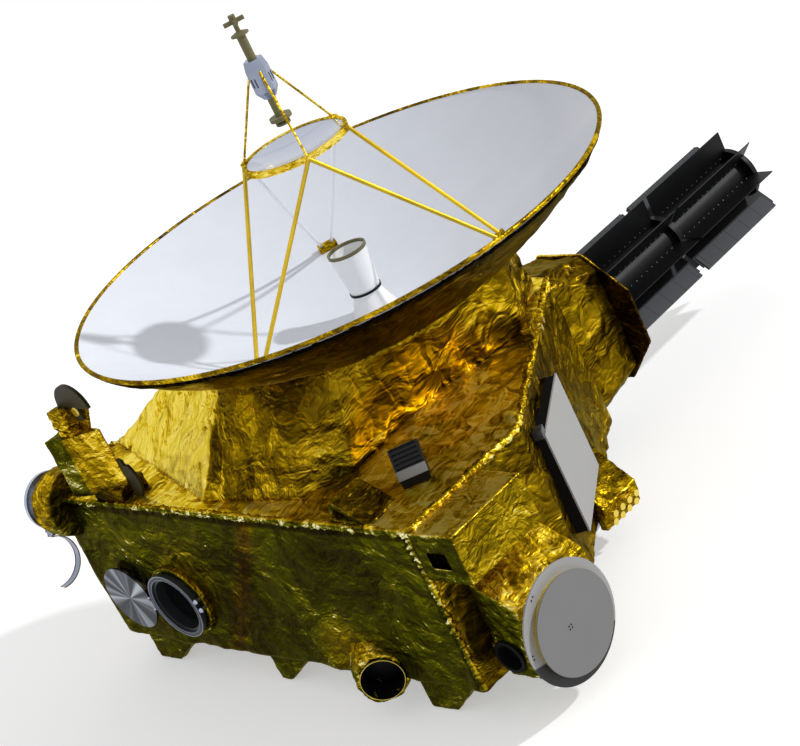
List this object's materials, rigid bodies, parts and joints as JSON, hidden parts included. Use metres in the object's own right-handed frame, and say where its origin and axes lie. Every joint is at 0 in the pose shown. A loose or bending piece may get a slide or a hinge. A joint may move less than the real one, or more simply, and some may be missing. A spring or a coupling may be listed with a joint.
{
  "type": "space probe",
  "caption": "Space probe with a dish antenna on a blanketed flat body, a finned radioisotope generator, a telescope with a hinged cover and a drum sensor with a swing-down cover.",
  "frame": {"origin": "centre of the launch adapter ring's lower face, on the ground plane", "axes": "+Z along the dish's boresight, +Y out along the generator, -Y out of the telescope"},
  "size_m": [2.502, 3.0931, 2.286],
  "materials": {
    "foil": "crinkled gold film blanket",
    "metal_ring": "satin",
    "white_paint": "matt",
    "black_fin": "satin",
    "grey_panel": "matt",
    "hub_metal": "satin",
    "khaki": "matt",
    "dark": "matt",
    "polished": "polished",
    "grey_paint": "matt",
    "olive": "satin"
  },
  "bodies": {
    "probe": {"adapter_ring": "metal_ring", "aft_antenna": "white_paint", "bus_body": "foil", "generator_neck": "foil", "generator_shield": "foil", "generator_body": "black_fin", "generator_cap": "black_fin", "fin_panels": "grey_panel", "dish_reflector": "white_paint", "dish_back": "foil", "dish_rim": "foil", "support_blanket": "foil", "strut_feet": "foil", "antenna_struts": "foil", "node_ring": "foil", "subreflector": "white_paint", "mast_struts": "foil", "mast_hub": "hub_metal", "low_gain_feed": "khaki", "mast_tip": "khaki", "feed_horn": "white_paint", "horn_lip": "khaki", "horn_collar": "dark", "telescope_tube": "dark", "telescope_collar": "foil", "telescope_hinge": "hub_metal", "spectrometer": "foil", "imager_body": "foil", "imager_eye": "dark", "cooler_band": "foil", "cooler_ring": "grey_paint", "cooler_disc": "grey_paint", "plate_frame": "dark", "radiator_plate": "grey_paint", "louvre_foot": "foil", "louvre_box": "dark", "deck_hood": "foil", "star_tracker": "dark", "particle_box": "foil", "particle_head": "olive", "fan_upright": "foil", "particle_fan": "olive", "side_fan": "olive", "drum_bracket": "hub_metal", "drum_body": "foil", "drum_aperture": "dark", "drum_dome": "polished", "thruster_pods": "foil", "thruster_nozzles": "hub_metal", "edge_brackets": "foil"},
    "scope_door": {"telescope_door": "polished"},
    "drum_lid": {"drum_cover": "polished"}
  },
  "joints": [
    {"name": "telescope_door_hinge", "type": "hinge", "parent": "probe", "child": "scope_door", "pos_m": [-0.808, -0.979, 0.373], "axis": [0, 0, 1], "range_deg": [0, 180]},
    {"name": "drum_cover_hinge", "type": "hinge", "parent": "probe", "child": "drum_lid", "pos_m": [-1.279, -0.97728, 0.67374], "axis": [1, 0, 0], "range_deg": [-206.5, 0]}
  ]
}
